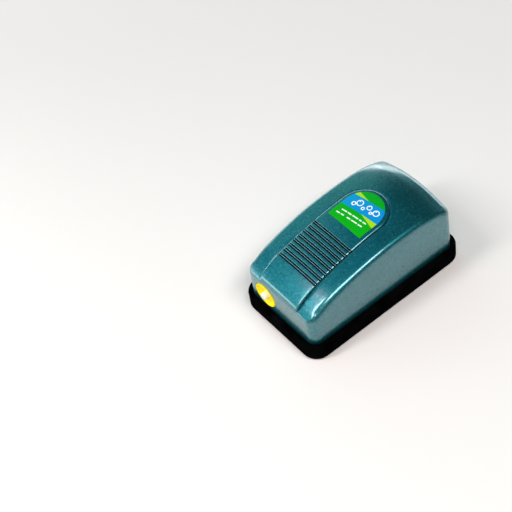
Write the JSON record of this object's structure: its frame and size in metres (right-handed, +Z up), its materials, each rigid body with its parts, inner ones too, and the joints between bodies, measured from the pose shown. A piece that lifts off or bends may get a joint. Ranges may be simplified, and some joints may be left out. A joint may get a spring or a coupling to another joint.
{
  "type": "aquarium air pump",
  "caption": "Mains diaphragm air pump for an aquarium: teal housing with a ribbed raised tongue, black rubber base, yellow outlet collar, rear speed switch.",
  "frame": {"origin": "middle of the footprint, on the floor under the feet", "axes": "+Z up, -Y out of the air outlet's face, +Y towards the cord entry and the switch, +X to the right seen from the front"},
  "size_m": [0.0686, 0.12, 0.0562],
  "materials": {
    "housing_plastic": "semi-gloss moulding with fine metallic flecks",
    "boot_rubber": "matt black",
    "plate_plastic": "fine grain",
    "label_print": "printed film in green, blue and lime bands",
    "yellow_plastic": "semi-gloss",
    "white_plastic": "semi-gloss",
    "silicone": "translucent white, satin",
    "valve_plastic": "satin",
    "flap_rubber": "satin",
    "diaphragm_rubber": "satin",
    "washer_metal": "zinc plated",
    "screw_steel": "zinc plated",
    "arm_plastic": "glass filled, grained",
    "ferrite": "sintered, matt",
    "bush_rubber": "matt",
    "bracket_plastic": "satin",
    "lamination_steel": "stacked sheets, oiled",
    "bobbin_plastic": "satin",
    "enamelled_copper": "wound enamelled wire",
    "filter_felt": "needled felt",
    "switch_plastic": "fine grain",
    "diode_epoxy": "moulded epoxy",
    "grommet_rubber": "matt",
    "foot_rubber": "soft, satin",
    "lead_blue": "soft vinyl",
    "lead_brown": "soft vinyl"
  },
  "bodies": {
    "pump": {"housing": "housing_plastic", "base_boot": "boot_rubber", "bottom_plate": "plate_plastic", "label_badge": "label_print", "outlet_collar": "yellow_plastic", "outlet_nozzle": "white_plastic", "outlet_hose": "silicone", "valve_box": "valve_plastic", "valve_plate": "valve_plastic", "clamp_ring": "valve_plastic", "diaphragm": "diaphragm_rubber", "pivot_bracket": "bracket_plastic", "pivot_pin": "screw_steel", "core_lamination": "lamination_steel", "bobbin": "bobbin_plastic", "coil_winding": "enamelled_copper", "air_filter": "filter_felt", "switch_body": "switch_plastic", "diode": "diode_epoxy", "cord_grommet": "grommet_rubber", "cord_clamp": "bracket_plastic", "coil_lead": "lead_blue", "switch_lead": "lead_brown", "foot_1": "foot_rubber", "foot_2": "foot_rubber", "foot_3": "foot_rubber", "foot_4": "foot_rubber", "case_screw_1": "screw_steel", "case_screw_2": "screw_steel", "case_screw_3": "screw_steel", "case_screw_4": "screw_steel", "valve_screw_1": "screw_steel", "valve_screw_2": "screw_steel", "valve_screw_3": "screw_steel", "valve_screw_4": "screw_steel", "core_screw_1": "screw_steel", "core_screw_2": "screw_steel", "clamp_screw_1": "screw_steel", "clamp_screw_2": "screw_steel"},
    "arm": {"rocker_arm": "arm_plastic", "magnet": "ferrite", "pivot_bush": "bush_rubber", "diaphragm_screw": "screw_steel", "diaphragm_washer": "washer_metal", "diaphragm_plate": "washer_metal"},
    "inlet_valve": {"inlet_flap": "flap_rubber"},
    "outlet_valve": {"outlet_flap": "flap_rubber"},
    "switch_knob": {"switch_slider": "switch_plastic"}
  },
  "joints": [
    {"name": "speed_switch", "type": "slide", "parent": "pump", "child": "switch_knob", "axis": [1, 0, 0], "range_m": [0, 0.004]},
    {"name": "arm_rock", "type": "hinge", "parent": "pump", "child": "arm", "pos_m": [0.012, 0.042, 0.026], "axis": [0, 0, 1], "range_deg": [-2.5, 2.5], "stiffness_Nm_per_rad": 1, "deforming": ["diaphragm"]},
    {"name": "inlet_flap_lift", "type": "hinge", "parent": "pump", "child": "inlet_valve", "pos_m": [-0.0099, 0.0186, 0.0297], "axis": [0, -1, 0], "range_deg": [0, 12], "stiffness_Nm_per_rad": 0.00002},
    {"name": "outlet_flap_lift", "type": "hinge", "parent": "pump", "child": "outlet_valve", "pos_m": [-0.013, 0.0094, 0.0297], "axis": [0, 1, 0], "range_deg": [0, 12], "stiffness_Nm_per_rad": 0.00002}
  ]
}
